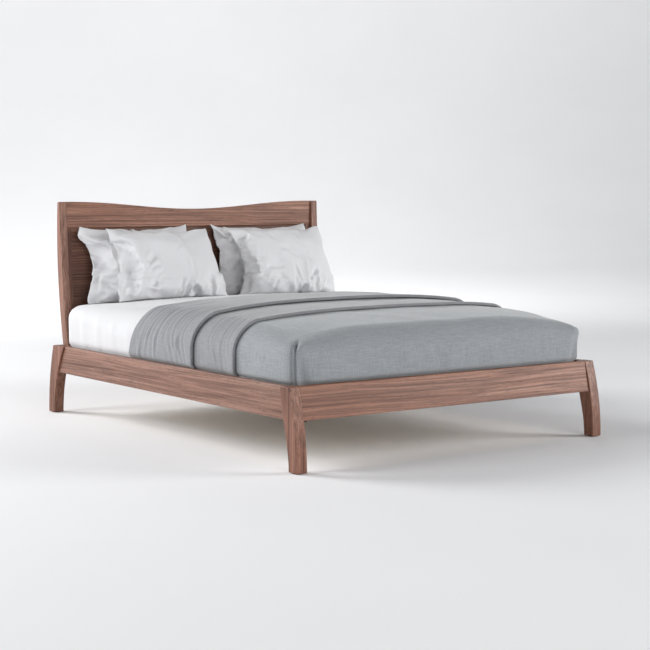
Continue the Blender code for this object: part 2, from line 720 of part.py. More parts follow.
def pillow(name, x, base_y, size, lean):
    """A standing pillow: a coarse cage, thin at its rim, rounded by subdivision."""
    width, height, thickness = size
    bm = bmesh.new()
    bmesh.ops.create_grid(bm, x_segments=4, y_segments=4, size=0.5)
    flat = bpy.data.meshes.new(name)
    top = list(bm.verts)
    result = bmesh.ops.extrude_face_region(bm, geom=list(bm.faces))
    raised = [v for v in result["geom"] if isinstance(v, bmesh.types.BMVert)]
    for verts, sign in ((top, -1), (raised, 1)):
        for v in verts:
            edge = max(abs(v.co.x), abs(v.co.y))
            v.co.z = sign * (0.5 if edge < 0.2 else 0.42 if edge < 0.3 else 0.08)
    for v in bm.verts:
        v.co = Vector((v.co.x * width, v.co.y * height, v.co.z * thickness))
    bmesh.ops.recalc_face_normals(bm, faces=bm.faces)
    bm.to_mesh(flat)
    bm.free()
    obj = link_mesh(name, flat, PERCALE)
    rest = MATTRESS_TOP + crown(x, base_y - thickness / 2) + 0.0045
    turn = Matrix.Rotation(radians(90 - lean), 4, "X")
    centre = Vector((x, base_y, rest)) + turn.to_3x3() @ Vector((0, height / 2, 0))
    obj.matrix_world = Matrix.Translation(centre) @ turn
    soften = obj.modifiers.new("soft", "SUBSURF")
    soften.levels = 1
    soften.render_levels = 1


def pillows():
    back, front = (0.640, 0.380, 0.115), (0.640, 0.370, 0.115)
    for hand, back_x, front_x in (("left", -0.410, -0.295), ("right", 0.385, 0.415)):
        pillow(f"pillow_back_{hand}", back_x, 0.972, back, 7)
        pillow(f"pillow_front_{hand}", front_x, 0.850, front, 7)


legs_and_glides()
rails()
headboard()
slats()
ledgers()
centre_support()
leveller()
fasteners()
drill_all()
made_bed()
pillows()
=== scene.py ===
"""Looks of the sleigh bed: oiled walnut frame, white sheet and pillows, grey linen bedspread and throw."""

import math
import random

import bmesh
import bpy
import numpy as np
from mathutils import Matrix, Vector


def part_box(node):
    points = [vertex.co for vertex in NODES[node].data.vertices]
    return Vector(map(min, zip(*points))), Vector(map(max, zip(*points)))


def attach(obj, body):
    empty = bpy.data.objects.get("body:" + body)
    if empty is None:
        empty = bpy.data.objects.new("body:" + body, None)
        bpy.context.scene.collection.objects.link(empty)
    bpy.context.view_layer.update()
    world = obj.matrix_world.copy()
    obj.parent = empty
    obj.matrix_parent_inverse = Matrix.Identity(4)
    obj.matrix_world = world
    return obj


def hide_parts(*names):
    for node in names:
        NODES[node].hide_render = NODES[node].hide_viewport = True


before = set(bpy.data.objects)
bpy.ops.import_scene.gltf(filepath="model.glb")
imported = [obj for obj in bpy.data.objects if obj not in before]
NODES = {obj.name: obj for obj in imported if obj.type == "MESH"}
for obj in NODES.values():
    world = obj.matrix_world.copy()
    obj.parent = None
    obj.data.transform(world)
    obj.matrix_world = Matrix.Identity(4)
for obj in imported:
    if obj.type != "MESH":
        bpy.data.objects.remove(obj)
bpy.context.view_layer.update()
SCENE = bpy.context.scene


# ---------------------------------------------------------------------------
# Sizes of the bedding, worked out from the CAD mattress and rails
# ---------------------------------------------------------------------------

BED_LOW, BED_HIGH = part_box("mattress")
RAIL_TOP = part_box("foot_rail")[1].z

HEAD_RADIUS = 0.062            # soft shoulder of the made bed at its head
SIDE_RADIUS = 0.115            # half-way along its sides
FOOT_RADIUS = 0.100            # and at its foot
CORNER_POWER = 5.0             # 2 is a round corner seen from above, more is squarer
SIDE_BELLY = 0.012             # how far the sides swell above the rails
CROWN = 0.053                  # how far the middle of the top swells above the shoulder
CROWN_ACROSS = 2.9             # powers of the swell's fall: 2 is a round hill, more is a flatter one
CROWN_TO_FOOT = 2.8
CROWN_TO_HEAD = 3.2
SHOULDER_TOP = BED_HIGH.z - CROWN + 0.014      # its middle stands 14 mm above the CAD solid's top
CORNER_SINK = 0.036            # how far the top comes down towards its two foot corners
SINK_REACH = 0.20              # and how far from a corner that reaches
BODY_HALF_WIDTH = BED_HIGH.x - 0.007           # leaves room for the covers and their tucks
BODY_FOOT = BED_LOW.y + 0.005
BODY_HEAD = BED_HIGH.y - 0.002
MIDDLE_Y = (BODY_FOOT + BODY_HEAD) / 2
HALF_BODY_LENGTH = (BODY_HEAD - BODY_FOOT) / 2

COVER_BOTTOM = 0.322           # where the covers end, tucked between mattress and rails
TUCK_LOW = RAIL_TOP - 0.006    # covers lie tight on the mattress below this height
TUCK_HIGH = RAIL_TOP + 0.016   # and loose above this one
TUCK_SQUEEZE = 0.36            # share of a cover's lift that is left in the tuck

SHEET_LIFT = 0.0020            # middle of the fitted sheet above the mattress body
SPREAD_LIFT = 0.0060           # and of the bedspread
THROW_FOOT_EDGE = -0.600       # free edge of the throw's lower layer
THROW_FOLD = 0.228             # its fold at the head side
THROW_TOP_EDGE = -0.270        # free edge of its upper layer
FOLD_SPREAD = 0.090            # how far the fold runs on towards the head where it goes down the sides
CLOTH = 0.0028                 # thickness of the linen
HEM_SKEW = 0.055               # how far the lower hem comes towards the head on the right
HEM_SQUARE = 0.42              # 1 is a round rolled hem, less is a squarer one
UPPER_GATHERS = 27             # folds on each side of the throw's upper layer
STRIP_GATHERS = 8              # and of the strip of its lower layer that shows

FAR = 10.0                     # further off than any part of the bed, for a limit that isn't wanted
TINY = 1e-9                    # keeps a division away from 0


# ---------------------------------------------------------------------------
# Small helpers
# ---------------------------------------------------------------------------

def smooth_step(low, high, value):
    """0 below low, 1 above high, with a smooth change between them."""
    t = np.clip((value - low) / (high - low), 0.0, 1.0)
    return t * t * (3 - 2 * t)


def bell(value, middle, width):
    """A soft bump of height 1 around a middle."""
    return np.exp(-((value - middle) / width) ** 2)


def make_mesh(name, points, faces):
    """A smooth-shaded mesh object at the origin, in the bed's frame."""
    mesh = bpy.data.meshes.new(name)
    mesh.from_pydata([tuple(p) for p in points], [], [tuple(f) for f in faces])
    mesh.validate()
    obj = bpy.data.objects.new(name, mesh)
    SCENE.collection.objects.link(obj)
    mesh.polygons.foreach_set("use_smooth", [True] * len(mesh.polygons))
    mesh.update()
    return obj


def grid_faces(rows, columns, start=0, flip=False):
    """Quads of a grid whose points are numbered row by row."""
    faces = []
    for r in range(rows - 1):
        for c in range(columns - 1):
            a = start + r * columns + c
            quad = (a, a + 1, a + columns + 1, a + columns)
            faces.append(quad[::-1] if flip else quad)
    return faces


def merged(points, faces, step=1e-5):
    """Joins points that lie in the same place, so that neighbouring grids share their edge."""
    keys = np.round(points / step).astype(np.int64)
    _, first, back = np.unique(keys, axis=0, return_index=True, return_inverse=True)
    back = back.reshape(-1)
    joined = [tuple(int(back[i]) for i in f) for f in faces]
    joined = [f for f in joined if len(set(f)) == len(f)]
    return points[first], joined


def waves(x, y, seed, count, low, high):
    """Smooth random relief: a few plane waves with wavelengths from low to high, about -1 to 1."""
    rng = random.Random(seed)
    total = np.zeros_like(x)
    for _ in range(count):
        angle = rng.uniform(0, math.pi)
        size = 2 * math.pi / rng.uniform(low, high)
        phase = rng.uniform(0, 2 * math.pi)
        total = total + np.sin(size * (x * math.cos(angle) + y * math.sin(angle)) + phase)
    return total / math.sqrt(count)


def body_radius(y):
    """Radius of the shoulder along the sides, changing over the last half metre or so at each end."""
    to_foot = smooth_step(BODY_FOOT + 0.50, BODY_FOOT + 0.10, y)
    to_head = smooth_step(BODY_HEAD - 0.45, BODY_HEAD - 0.08, y)
    return SIDE_RADIUS + (FOOT_RADIUS - SIDE_RADIUS) * to_foot + (HEAD_RADIUS - SIDE_RADIUS) * to_head


def crown(x, y):
    """Swell of the mattress top: highest in the middle, and lower at the foot corners."""
    across = np.clip(np.abs(x) / BODY_HALF_WIDTH, 0, 1)
    along = np.clip(np.abs(y - MIDDLE_Y) / HALF_BODY_LENGTH, 0, 1)
    power = np.where(y < MIDDLE_Y, CROWN_TO_FOOT, CROWN_TO_HEAD)
    corner = np.hypot(BODY_HALF_WIDTH - np.abs(x), y - BODY_FOOT)
    sink = CORNER_SINK * np.exp(-(corner / SINK_REACH) ** 2)
    return CROWN * (1 - across ** CROWN_ACROSS) * (1 - along ** power) - sink


def wrapped(box_points, lift):
    """Lays points of a square-edged box onto the rounded, crowned mattress, lift metres off its body.
    Seen from above the corners are tighter than the shoulder is in the side view."""
    radius = body_radius(box_points[:, 1])
    half = BODY_HALF_WIDTH - radius
    count = np.ones(len(box_points))
    low = np.stack([-half, count * (BODY_FOOT + FOOT_RADIUS), count * -FAR], 1)
    high = np.stack([half, count * (BODY_HEAD - HEAD_RADIUS), SHOULDER_TOP - radius], 1)
    core = np.clip(box_points, low, high)
    out = box_points - core
    flat = np.abs(out[:, :2]) ** CORNER_POWER
    level = np.maximum(flat.sum(axis=1), 1e-30) ** (1 / CORNER_POWER)
    reach = np.maximum(np.hypot(level, out[:, 2]), TINY)
    slope = np.abs(out[:, :2]) ** (CORNER_POWER - 1) * (level ** (2 - CORNER_POWER))[:, None]
    normal = np.concatenate([np.sign(out[:, :2]) * slope, out[:, 2:]], axis=1)
    normal /= np.maximum(np.linalg.norm(normal, axis=1, keepdims=True), TINY)
    height = box_points[:, 2]
    tight = TUCK_SQUEEZE + (1 - TUCK_SQUEEZE) * smooth_step(TUCK_LOW, TUCK_HIGH, height)
    belly = SIDE_BELLY * smooth_step(TUCK_LOW, TUCK_HIGH, height) * np.hypot(normal[:, 0], normal[:, 1])
    placed = core + out * (radius / reach)[:, None] + normal * (lift * tight + belly)[:, None]
    placed[:, 2] += crown(placed[:, 0], placed[:, 1]) * normal[:, 2] ** 2
    return placed


def spaced(start, stop, spacing, fine, fine_at, fine_reach=0.12):
    """Places from start to stop, fine apart within fine_reach of the places in fine_at."""
    places = [start]
    while places[-1] < stop - spacing * 0.5:
        near = any(abs(places[-1] - p) < fine_reach for p in fine_at)
        places.append(places[-1] + (fine if near else spacing))
    places = np.array(places)
    return start + (places - start) * (stop - start) / (places[-1] - start)


def box_sides(spacing, foot, head, bottom, faces_wanted, rise=None, fine=None):
    """Grids over the faces of the square-edged box: top, left, right, foot and head as wanted.
    rise is the spacing up the sides, and fine the one near the foot corners."""
    x0, x1 = -BODY_HALF_WIDTH, BODY_HALF_WIDTH
    z1 = SHOULDER_TOP
    fine = fine or spacing
    xs = spaced(x0, x1, spacing, fine, (x0, x1))
    ys = spaced(foot, head, spacing, fine, (foot,))
    zs = spaced(bottom, z1, rise or spacing, rise or spacing, ())
    points = []
    faces = []

    def add(rows, columns, place, flip):
        start = sum(len(p) for p in points)
        grid = np.array([place(r, c) for r in rows for c in columns])
        points.append(grid)
        faces.extend(grid_faces(len(rows), len(columns), start, flip))

    add(ys, xs, lambda y, x: (x, y, z1), False)
    add(ys, zs, lambda y, z: (x0, y, z), False)
    add(ys, zs, lambda y, z: (x1, y, z), True)
    if "foot" in faces_wanted:
        add(xs, zs, lambda x, z: (x, foot, z), True)
    if "head" in faces_wanted:
        add(xs, zs, lambda x, z: (x, head, z), False)
    return merged(np.concatenate(points), faces)


def thicken(obj, thickness):
    """Gives a cloth its thickness, half to each side, with closed rims."""
    solid = obj.modifiers.new("thickness", "SOLIDIFY")
    solid.thickness = thickness
    solid.offset = 0.0
    solid.use_rim = True


# ---------------------------------------------------------------------------
# Materials
# ---------------------------------------------------------------------------

def add_node(tree, kind, **sockets):
    """A shader node, with values set on the inputs named."""
    node = tree.nodes.new(kind)
    for key, value in sockets.items():
        node.inputs[key.replace("_", " ")].default_value = value
    return node


def new_material(name, roughness, **shader_values):
    """A material with its Principled shader and a place to read object coordinates from."""
    material = bpy.data.materials.new(name)
    material.use_nodes = True
    tree = material.node_tree
    shader = next(n for n in tree.nodes if n.type == "BSDF_PRINCIPLED")
    shader.inputs["Roughness"].default_value = roughness
    for key, value in shader_values.items():
        shader.inputs[key.replace("_", " ")].default_value = value
    place = tree.nodes.new("ShaderNodeTexCoord").outputs["Object"]
    return material, tree, shader, place


def mapped(tree, place, scale, offset=(0, 0, 0), turn=(0, 0, 0)):
    """Object coordinates moved, turned and scaled."""
    node = add_node(tree, "ShaderNodeMapping", Scale=scale, Location=offset, Rotation=turn)
    tree.links.new(place, node.inputs["Vector"])
    return node.outputs["Vector"]


def noise(tree, place, scale=1.0, detail=2.0, roughness=0.5, distortion=0.0):
    """A noise texture's value."""
    node = add_node(tree, "ShaderNodeTexNoise", Scale=scale, Detail=detail,
                    Roughness=roughness, Distortion=distortion)
    tree.links.new(place, node.inputs["Vector"])
    return node.outputs["Fac"]


def ramp(tree, value, *stops):
    """A colour ramp of (position, colour) stops."""
    node = tree.nodes.new("ShaderNodeValToRGB")
    elements = node.color_ramp.elements
    while len(elements) < len(stops):
        elements.new(0.5)
    for element, (position, colour) in zip(elements, stops):
        element.position = position
        element.color = (*colour, 1.0)
    tree.links.new(value, node.inputs["Fac"])
    return node.outputs["Color"]


def grey_ramp(tree, value, low, high, dark, light):
    """Maps a value between low and high to a grey from dark to light."""
    return ramp(tree, value, (low, (dark,) * 3), (high, (light,) * 3))


def blend_colours(tree, factor, first, second, mode="MIX"):
    """Mixes two colours; each may be a socket or a colour, and the factor a socket or a number."""
    node = tree.nodes.new("ShaderNodeMix")
    node.data_type = "RGBA"
    node.blend_type = mode
    for socket, value in ((node.inputs[0], factor), (node.inputs[6], first), (node.inputs[7], second)):
        if isinstance(value, bpy.types.NodeSocket):
            tree.links.new(value, socket)
        else:
            socket.default_value = (*value, 1.0) if isinstance(value, tuple) else value
    return node.outputs[2]


def maths(tree, operation, *values):
    """One maths node; each value is a socket or a number."""
    node = tree.nodes.new("ShaderNodeMath")
    node.operation = operation
    for socket, value in zip(node.inputs, values):
        if isinstance(value, bpy.types.NodeSocket):
            tree.links.new(value, socket)
        else:
            socket.default_value = value
    return node.outputs[0]


def bump(tree, shader, height, distance, strength=1.0, below=None):
    """Feeds a height into the shader's normal, on top of a bump that is already there."""
    node = add_node(tree, "ShaderNodeBump", Strength=strength, Distance=distance)
    tree.links.new(height, node.inputs["Height"])
    if below is not None:
        tree.links.new(below, node.inputs["Normal"])
    tree.links.new(node.outputs["Normal"], shader.inputs["Normal"])
    return node.outputs["Normal"]


# Colours, in linear light
WALNUT_DARK = (0.105, 0.036, 0.019)
WALNUT_MID = (0.258, 0.118, 0.073)
WALNUT_LIGHT = (0.370, 0.200, 0.138)
BIRCH_DARK = (0.50, 0.36, 0.22)
BIRCH_LIGHT = (0.70, 0.56, 0.39)
GRAIN_AXES = {"x": 0, "y": 1, "z": 2}


def wood(name, grain, seed, dark, middle, light, roughness, contrast):
    """Sawn and oiled wood: broad tone changes, streaks and dark lines that wander along the grain,
    fine fibres, and open pores as short dark dashes."""
    material, tree, shader, place = new_material(name, roughness)
    rng = random.Random(seed)
    axis = GRAIN_AXES[grain]

    def along(across_scale, along_scale):
        scale = [across_scale] * 3
        scale[axis] = along_scale
        return tuple(scale)

    shift = [rng.uniform(-3, 3) for _ in range(3)]
    lean = [math.radians(rng.uniform(-0.8, 0.8)) for _ in range(3)]
    placed = mapped(tree, place, (1, 1, 1), tuple(shift), tuple(lean))
    bend = add_node(tree, "ShaderNodeTexNoise", Scale=1.0, Detail=2.0, Roughness=0.45)
    tree.links.new(mapped(tree, placed, along(4.0, 1.1)), bend.inputs["Vector"])
    wander = add_node(tree, "ShaderNodeVectorMath")
    wander.operation = "MULTIPLY_ADD"
    wander.inputs[1].default_value = (0.035, 0.035, 0.035)
    tree.links.new(bend.outputs["Color"], wander.inputs[0])
    tree.links.new(placed, wander.inputs[2])
    placed = wander.outputs[0]

    broad = noise(tree, mapped(tree, placed, along(11, 0.35)), detail=1.0)
    streak = noise(tree, mapped(tree, placed, along(52, 0.55)), detail=3.0, roughness=0.6)
    lines = noise(tree, mapped(tree, placed, along(150, 1.5)), detail=2.0, roughness=0.6)
    fibre = noise(tree, mapped(tree, placed, along(420, 7)), detail=2.0, roughness=0.6)
    pores = noise(tree, mapped(tree, placed, along(900, 22)), detail=1.0)

    figure = maths(tree, "MULTIPLY", maths(tree, "SUBTRACT", streak, 0.5), 0.75 * contrast)
    finer = maths(tree, "MULTIPLY", maths(tree, "SUBTRACT", lines, 0.5), 1.25 * contrast)
    figure = maths(tree, "ADD", maths(tree, "ADD", figure, finer), 0.5)
    colour = ramp(tree, figure, (0.18, light), (0.46, middle), (0.78, dark))
    tint = ramp(tree, broad, (0.32, (0.88, 0.85, 0.83)), (0.68, (1.10, 1.09, 1.08)))
    colour = blend_colours(tree, 1.0, colour, tint, "MULTIPLY")
    thread = grey_ramp(tree, fibre, 0.30, 0.70, 0.86, 1.10)
    colour = blend_colours(tree, 1.0, colour, thread, "MULTIPLY")
    pit = grey_ramp(tree, pores, 0.30, 0.38, 0.0, 1.0)
    colour = blend_colours(tree, pit, tuple(c * 0.6 for c in dark), colour)
    tree.links.new(colour, shader.inputs["Base Color"])

    gloss = grey_ramp(tree, streak, 0.25, 0.75, roughness - 0.06, roughness + 0.09)
    tree.links.new(gloss, shader.inputs["Roughness"])
    below = bump(tree, shader, fibre, 0.00012, 0.7)
    bump(tree, shader, pit, 0.00020, 0.8, below)
    return material


def thread_field(tree, place, pitch, run):
    """Slubby threads in the two directions of a face: each noise runs along one axis, and a face
    takes the two that lie in it."""
    normal = tree.nodes.new("ShaderNodeNewGeometry").outputs["Normal"]
    split = tree.nodes.new("ShaderNodeSeparateXYZ")
    tree.links.new(normal, split.inputs[0])
    total = None
    for axis in range(3):
        scale = [1 / pitch] * 3
        scale[axis] = 1 / run
        value = noise(tree, mapped(tree, place, tuple(scale)), detail=2.0, roughness=0.55)
        facing = maths(tree, "MULTIPLY", split.outputs[axis], split.outputs[axis])
        weight = maths(tree, "SUBTRACT", 1.0, facing)
        part = maths(tree, "MULTIPLY", maths(tree, "SUBTRACT", value, 0.5), weight)
        total = part if total is None else maths(tree, "ADD", total, part)
    return total


def woven(name, colour, pitch, contrast, roughness, relief, slub=0.0):
    """Plain-woven cloth: fine threads, and where slub is above 0 thicker and thinner yarns as in linen."""
    material, tree, shader, place = new_material(
        name, roughness, Sheen_Weight=0.25, Sheen_Roughness=0.5, Specular_IOR_Level=0.25)
    fine = thread_field(tree, place, pitch, pitch * 14)
    shade = maths(tree, "ADD", 1.0, maths(tree, "MULTIPLY", fine, contrast))
    if slub:
        coarse = thread_field(tree, place, pitch * 4.5, pitch * 55)
        shade = maths(tree, "ADD", shade, maths(tree, "MULTIPLY", coarse, slub))
    mottle = noise(tree, mapped(tree, place, (6, 6, 6)), detail=3.0)
    shade = maths(tree, "ADD", shade, maths(tree, "MULTIPLY", maths(tree, "SUBTRACT", mottle, 0.5), 0.08))
    combine = tree.nodes.new("ShaderNodeCombineColor")
    for i, part in enumerate(colour):
        tree.links.new(maths(tree, "MULTIPLY", shade, part), combine.inputs[i])
    tree.links.new(combine.outputs[0], shader.inputs["Base Color"])
    bump(tree, shader, fine, relief, 0.8)
    return material


def metal(name):
    """Zinc-plated steel with faint brushing and dull patches."""
    material, tree, shader, place = new_material(name, 0.35, Metallic=1.0)
    patches = noise(tree, mapped(tree, place, (60, 60, 60)), detail=3.0)
    tree.links.new(ramp(tree, patches, (0.3, (0.50, 0.51, 0.53)), (0.7, (0.66, 0.67, 0.69))),
                   shader.inputs["Base Color"])
    tree.links.new(grey_ramp(tree, patches, 0.3, 0.7, 0.28, 0.46), shader.inputs["Roughness"])
    brush = noise(tree, mapped(tree, place, (900, 900, 60)), detail=1.0)
    bump(tree, shader, brush, 0.00003, 0.5)
    return material


def plastic(name):
    """Black nylon with a moulded grain, scuffed a little grey."""
    material, tree, shader, place = new_material(name, 0.55)
    grain = noise(tree, mapped(tree, place, (700, 700, 700)), detail=2.0)
    scuff = noise(tree, mapped(tree, place, (90, 90, 25)), detail=3.0)
    tree.links.new(ramp(tree, scuff, (0.45, (0.022, 0.022, 0.023)), (0.72, (0.06, 0.06, 0.06))),
                   shader.inputs["Base Color"])
    bump(tree, shader, grain, 0.00006, 0.6)
    return material


LINEN = woven("grey_linen", (0.282, 0.298, 0.312), 0.0011, 0.45, 0.92, 0.00035, slub=0.42)
THROW_LINEN = woven("throw_linen", (0.250, 0.255, 0.268), 0.0011, 0.38, 0.92, 0.00030, slub=0.34)
PERCALE = woven("white_percale", (0.63, 0.63, 0.645), 0.0005, 0.10, 0.85, 0.00010)
PILLOW_COTTON = woven("pillow_cotton", (0.76, 0.76, 0.775), 0.0005, 0.10, 0.80, 0.00010)
TICKING = woven("mattress_ticking", (0.74, 0.74, 0.71), 0.0010, 0.25, 0.90, 0.00025)
WEBBING = woven("webbing", (0.66, 0.63, 0.56), 0.0018, 0.50, 0.92, 0.00050)
STEEL = metal("zinc_steel")
NYLON = plastic("black_nylon")


# ---------------------------------------------------------------------------
# CAD nodes: only their materials change
# ---------------------------------------------------------------------------

def dress(node, material):
    """Puts one material on every face of a CAD node."""
    obj = NODES[node]
    obj.data.materials.clear()
    obj.data.materials.append(material)
    obj.data.polygons.foreach_set("material_index", [0] * len(obj.data.polygons))


def toned(colour, tone):
    """A colour times a tone for each of its three parts."""
    return tuple(c * t for c, t in zip(colour, tone))


def first_match(table, node):
    """The value of the first key in a table that a node's name starts with, or None."""
    return next((value for start, value in table.items() if node.startswith(start)), None)


def dress_nodes():
    """Walnut with the grain along each piece, with light and shade painted into its colour piece by piece:
    darker for painted shade on the set-back panel, its stiles and bottom rail, and paler and whiter for a
    painted sheen on the side rails and posts. Plain birch for the parts under the mattress, and webbing,
    nylon or steel for the rest."""
    # Colour factors per piece, with light and shade painted in. The panel, its stiles and bottom rail are
    # darkened as painted shade in the recess behind the pillows. The side rails and posts are made paler
    # and whiter as a painted sheen. The top rail is lighter, the foot rail warmer and the legs a little
    # darker.
    painted_light_and_tone = {
        "headboard_panel": (0.55, 0.50, 0.47), "headboard_stile": (0.62, 0.56, 0.53),
        "headboard_bottom": (0.58, 0.54, 0.51), "headboard_top": (1.15, 1.13, 1.10),
        "headboard_post": (1.06, 1.10, 1.20), "side_rail": (0.94, 1.02, 1.12),
        "foot_rail": (0.98, 0.90, 0.82), "leg_": (0.86, 0.80, 0.78),
    }
    walnut_grain = {
        "leg_": "z", "headboard_post": "z", "headboard_stile": "z", "side_rail": "y",
        "foot_rail": "x", "headboard_top_rail": "x", "headboard_panel": "x", "headboard_bottom_rail": "x",
    }
    birch_grain = {
        "slat_ledger": "y", "slat_0": "x", "slat_1": "x", "centre_beam": "y", "centre_leg": "z",
        "foot_cleat": "x", "head_cross_rail": "x",
    }
    other = {
        "slat_strap": WEBBING, "glide": NYLON, "leveller_pad": NYLON, "leveller_": STEEL,
        "rail_bolt": STEEL, "post_bolt": STEEL, "beam_hanger": STEEL, "centre_leg_plate": STEEL,
    }
    for seed, node in enumerate(sorted(NODES)):
        finished = first_match(other, node)
        walnut = first_match(walnut_grain, node)
        birch = first_match(birch_grain, node)
        if finished:
            dress(node, finished)
        elif walnut:
            tone = first_match(painted_light_and_tone, node)
            colours = [toned(c, tone) for c in (WALNUT_DARK, WALNUT_MID, WALNUT_LIGHT)]
            dress(node, wood("walnut_" + node, walnut, seed, *colours, roughness=0.46, contrast=1.0))
        elif birch:
            colours = (BIRCH_DARK, BIRCH_LIGHT, BIRCH_LIGHT)
            dress(node, wood("birch_" + node, birch, seed, *colours, roughness=0.60, contrast=0.6))


# ---------------------------------------------------------------------------
# Mattress and its covers
# ---------------------------------------------------------------------------

def corner_recess(points):
    """How far the layers under the bedspread draw in at its foot corners, to leave room for the pleats."""
    from_foot = points[:, 1] - BODY_FOOT
    from_side = BODY_HALF_WIDTH - np.abs(points[:, 0])
    return -0.020 * np.exp(-(from_foot ** 2 + from_side ** 2) / 0.09 ** 2)


def close_underside(obj):
    """Fills the open underside of the mattress with one flat face."""
    mesh = bmesh.new()
    mesh.from_mesh(obj.data)
    rim = [e for e in mesh.edges if e.is_boundary]
    filled = bmesh.ops.holes_fill(mesh, edges=rim, sides=0)
    for face in filled["faces"]:
        face.smooth = False
    bmesh.ops.recalc_face_normals(mesh, faces=mesh.faces)
    mesh.to_mesh(obj.data)
    mesh.free()


def make_mattress():
    """Foam mattress: rounded body in ticking, quilted in squares on top, with a piping round its
    lower edge and a plain underside that lies on the slats."""
    bottom = BED_LOW.z + 0.001
    points, faces = box_sides(0.020, BODY_FOOT, BODY_HEAD, bottom, ("foot", "head"), rise=0.005)
    top = points[:, 2] > SHOULDER_TOP - 1e-6
    square = 0.16
    seams = [np.abs((points[:, i] + square / 2) % square - square / 2) for i in (0, 1)]
    quilting = -0.0020 * np.exp(-(np.minimum(*seams) / 0.016) ** 2) * top
    piping = 0.0040 * bell(points[:, 2], bottom + 0.011, 0.0045)
    placed = wrapped(points, corner_recess(points) * 1.3 - 0.001 + quilting)
    outward = placed[:, :2] - wrapped(points, np.full(len(points), -0.010))[:, :2]
    outward /= np.maximum(np.linalg.norm(outward, axis=1, keepdims=True), TINY)
    placed[:, :2] += outward * piping[:, None]
    obj = make_mesh("mattress_body", placed, faces)
    close_underside(obj)
    obj.data.materials.append(TICKING)
    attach(obj, "frame")
    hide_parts("mattress")


def make_fitted_sheet():
    """White fitted sheet: smooth on top, with faint folds that hang down its sides."""
    points, faces = box_sides(0.013, BODY_FOOT, BODY_HEAD, COVER_BOTTOM, ("foot", "head"))
    placed = wrapped(points, corner_recess(points) + SHEET_LIFT)
    x, y, z = placed[:, 0], placed[:, 1], placed[:, 2]
    side = 1 - smooth_step(SHOULDER_TOP - 0.080, SHOULDER_TOP, z)
    folds = waves(y, z * 0.15, 11, 6, 0.05, 0.16) * 0.0020 * side
    ripple = waves(x, y, 12, 6, 0.18, 0.5) * 0.0012 * (1 - side)
    sideways = np.sign(x) * smooth_step(BODY_HALF_WIDTH - 0.05, BODY_HALF_WIDTH - 0.01, np.abs(x))
    placed[:, 0] += sideways * folds
    placed[:, 2] += ripple
    obj = make_mesh("fitted_sheet_cloth", placed, faces)
    obj.data.materials.append(PERCALE)
    thicken(obj, 0.0012)
    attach(obj, "frame")
    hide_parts("fitted_sheet")


def make_bedspread():
    """Grey linen bedspread, tucked in at both sides and the foot, with a pleat at each foot corner.
    Its head edge lies under the throw."""
    head = THROW_FOLD - 0.06
    points, faces = box_sides(0.012, BODY_FOOT, head, COVER_BOTTOM, ("foot",), rise=0.0065, fine=0.0042)
    lift = np.full(len(points), SPREAD_LIFT)
    flat = wrapped(points, lift)
    x, y, z = flat[:, 0], flat[:, 1], flat[:, 2]
    from_foot = y - BODY_FOOT
    from_side = BODY_HALF_WIDTH - np.abs(x)
    # distance round the corner, less than 0 on the side and more than 0 on the foot face
    round_corner = from_side - from_foot
    near = np.exp(-(np.minimum(from_foot, from_side) / 0.05) ** 2)
    # the pleat hangs as a fold between two grooves, with a hollow beside it on the foot face
    hang = 1 - smooth_step(0.488, 0.512, z)
    low = 1 - smooth_step(0.350, 0.490, z)
    first = -0.0070 * bell(round_corner, -0.014, 0.0050) * hang * near
    second = -0.0110 * bell(round_corner, 0.005, 0.0055) * hang * near
    fold = 0.0045 * bell(round_corner, -0.005, 0.0045) * hang * near
    hollow = -0.0140 * low * bell(round_corner, 0.036 + 0.014 * low, 0.012 + 0.018 * low) * near
    # it starts in a dimple, with the cloth full beside it; the right corner stands up a little
    dimple = -0.0240 * bell(round_corner, 0.005, 0.013) * bell(z, 0.506, 0.015) * near
    swell = 0.0050 * bell(round_corner, 0.034, 0.016) * bell(z, 0.494, 0.012) * near
    ear = 0.0150 * np.exp(-(from_foot ** 2 + from_side ** 2) / 0.05 ** 2) * bell(z, 0.490, 0.028) * (x > 0)
    # and all of it is a little uneven
    soft = 0.0010 * waves(x + 0.4 * z, y + 0.7 * z, 21, 7, 0.16, 0.45)
    drape = 0.0014 * waves(x + y, z * 0.35, 23, 6, 0.10, 0.30) * (1 - smooth_step(0.42, 0.53, z))
    relief = first + second + fold + hollow + dimple + swell + ear + soft + drape
    placed = wrapped(points, lift + relief)
    obj = make_mesh("bedspread_cloth", placed, faces)
    obj.data.materials.append(LINEN)
    thicken(obj, CLOTH)
    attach(obj, "frame")
    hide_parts("bedspread")


